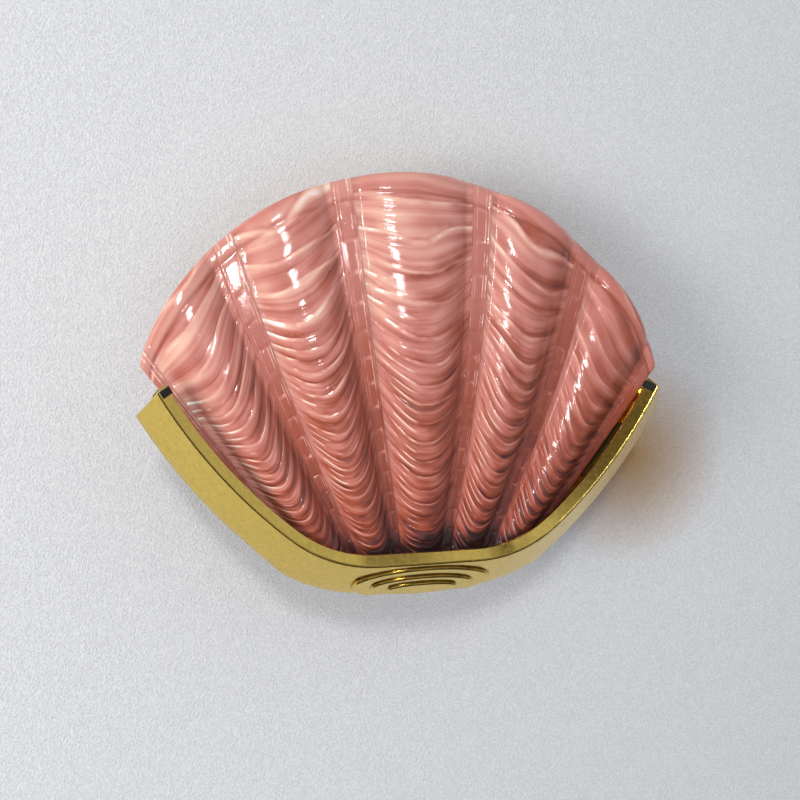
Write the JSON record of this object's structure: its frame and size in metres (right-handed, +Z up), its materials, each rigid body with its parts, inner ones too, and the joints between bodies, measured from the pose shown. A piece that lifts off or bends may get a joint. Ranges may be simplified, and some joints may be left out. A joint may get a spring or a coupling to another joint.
{
  "type": "shell wall sconce",
  "caption": "Wall light with a fluted pink pressed-glass shell seated in a polished gold collar, carried on a steel wall plate.",
  "frame": {"origin": "centre of the wall plate's back face, on the wall", "axes": "+Y into the wall, +Z up, +X to the right seen from the room; the lamp stands out toward -Y"},
  "size_m": [0.2988, 0.0876, 0.2325],
  "materials": {
    "pressed_glass": "pressed, fire polished",
    "gold_plate": "polished gold plate",
    "zinc_steel": "zinc plated",
    "brass_bare": "machined",
    "black_rubber": "matte",
    "black_moulding": "moulded phenolic",
    "porcelain": "glazed",
    "nickel_cap": "thin drawn sheet",
    "bulb_envelope": "frosted",
    "bulb_clear": "clear",
    "tungsten": "drawn wire",
    "white_nylon": "moulded",
    "brown_sleeve": "smooth insulation",
    "blue_sleeve": "smooth insulation",
    "green_yellow_sleeve": "smooth insulation"
  },
  "bodies": {
    "fixture": {"wall_plate": "zinc_steel", "carrier_studs": "zinc_steel", "carrier_washers": "zinc_steel", "carrier_nuts": "brass_bare", "carrier_bracket": "zinc_steel", "carrier_screws": "zinc_steel", "holder_bracket": "zinc_steel", "bracket_screws": "zinc_steel", "holder_nipple": "zinc_steel", "nipple_washer": "zinc_steel", "nipple_nut": "zinc_steel", "holder_cap": "black_moulding", "holder_body": "black_moulding", "contact_insert": "porcelain", "screw_sleeve": "brass_bare", "centre_contact": "brass_bare", "terminal_block": "white_nylon", "terminal_inserts": "brass_bare", "terminal_screws": "zinc_steel", "block_screws": "zinc_steel", "cable_grommet": "black_rubber", "earth_tag": "brass_bare", "earth_screw": "brass_bare", "live_lead": "brown_sleeve", "neutral_lead": "blue_sleeve", "earth_lead": "green_yellow_sleeve", "collar": "gold_plate", "end_buffers": "black_rubber", "seat_cushions": "black_rubber"},
    "shade": {"shell_shade": "pressed_glass"},
    "bulb": {"bulb_cap": "nickel_cap", "bulb_insulator": "black_moulding", "bulb_contact": "nickel_cap", "bulb_glass": "bulb_envelope", "bulb_stem": "bulb_clear", "bulb_filament": "tungsten"}
  },
  "joints": [
    {"name": "shade_lift", "type": "slide", "parent": "fixture", "child": "shade", "axis": [0, 0, 1], "range_m": [0, 0.26]},
    {"name": "bulb_turn", "type": "hinge", "parent": "fixture", "child": "bulb", "pos_m": [0, -0.036, 0], "axis": [0, 0, 1], "continuous": true}
  ]
}
